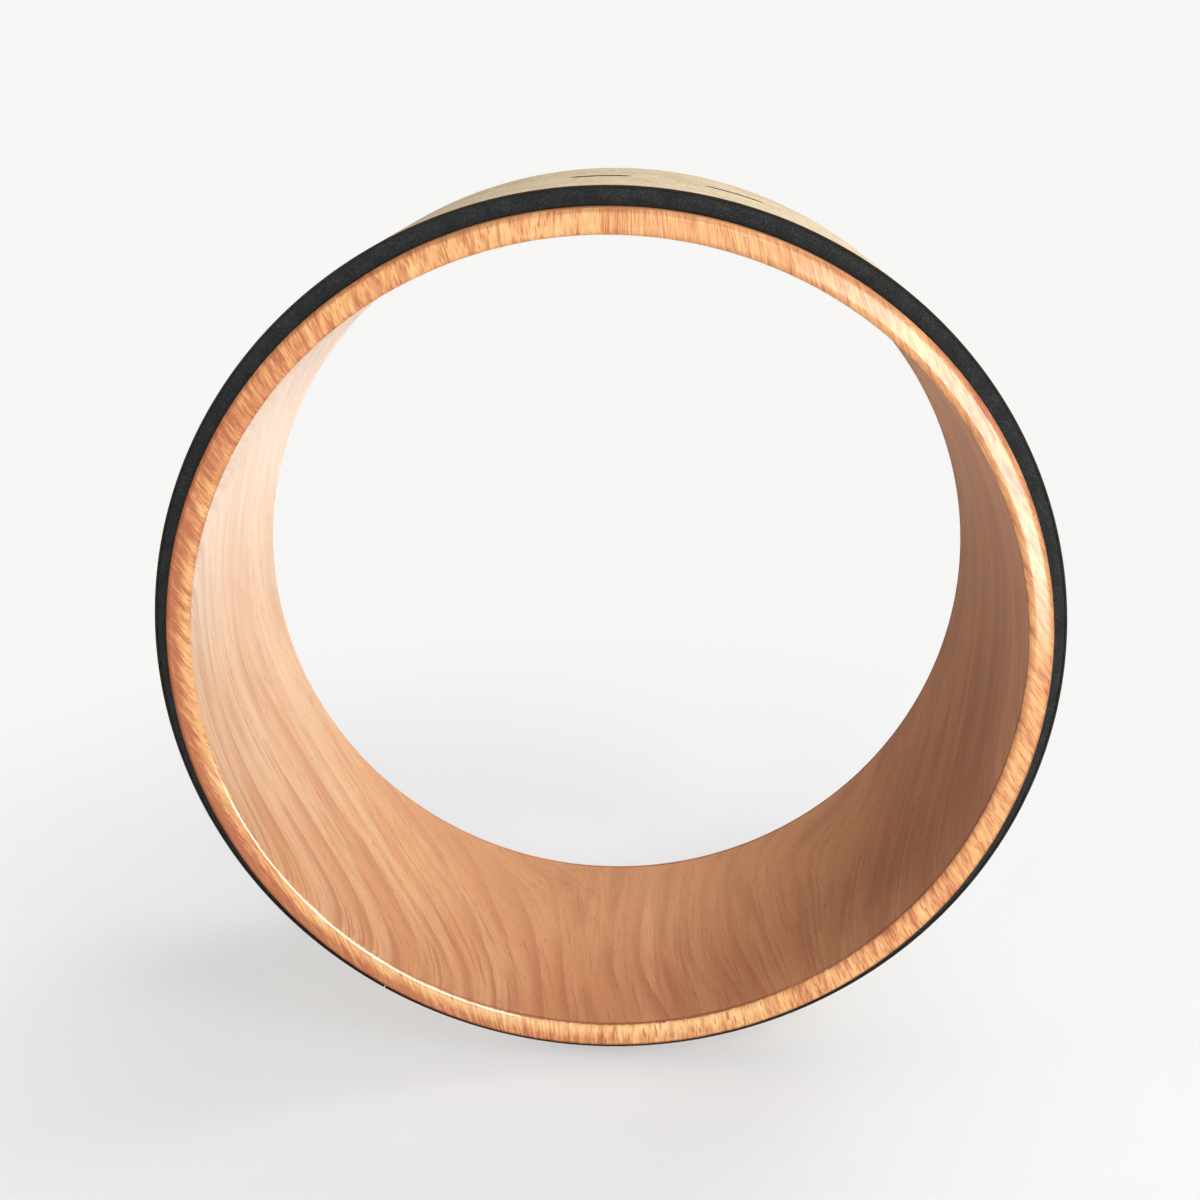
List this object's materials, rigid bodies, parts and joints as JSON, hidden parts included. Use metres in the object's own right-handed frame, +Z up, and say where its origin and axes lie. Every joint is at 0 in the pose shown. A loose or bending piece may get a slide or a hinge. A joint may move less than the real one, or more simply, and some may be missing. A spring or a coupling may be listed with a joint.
{
  "type": "yoga wheel",
  "caption": "Yoga wheel: a wood-grain plastic hoop with rounded lips and a foam and cork tread bonded round it, for back stretches and balance work.",
  "frame": {"origin": "centre of the wheel, on its axis and halfway between its two ends", "axes": "+Y along the wheel's axis towards its back, +Z up, the front faces -Y, and the tread meets the floor at z = -0.16 m"},
  "size_m": [0.32, 0.13, 0.32],
  "materials": {
    "hoop_plastic": "wood-grain print under a gloss coat",
    "foam": "matte closed-cell foam",
    "cork": "matte fine-grained cork",
    "adhesive": "cured dark contact adhesive",
    "ink": "matte ink"
  },
  "bodies": {
    "root": {"hoop": "hoop_plastic", "hoop_adhesive": "adhesive", "foam_pad": "foam", "cover_adhesive": "adhesive", "cork_cover": "cork", "tread_dashes": "ink"}
  },
  "joints": []
}
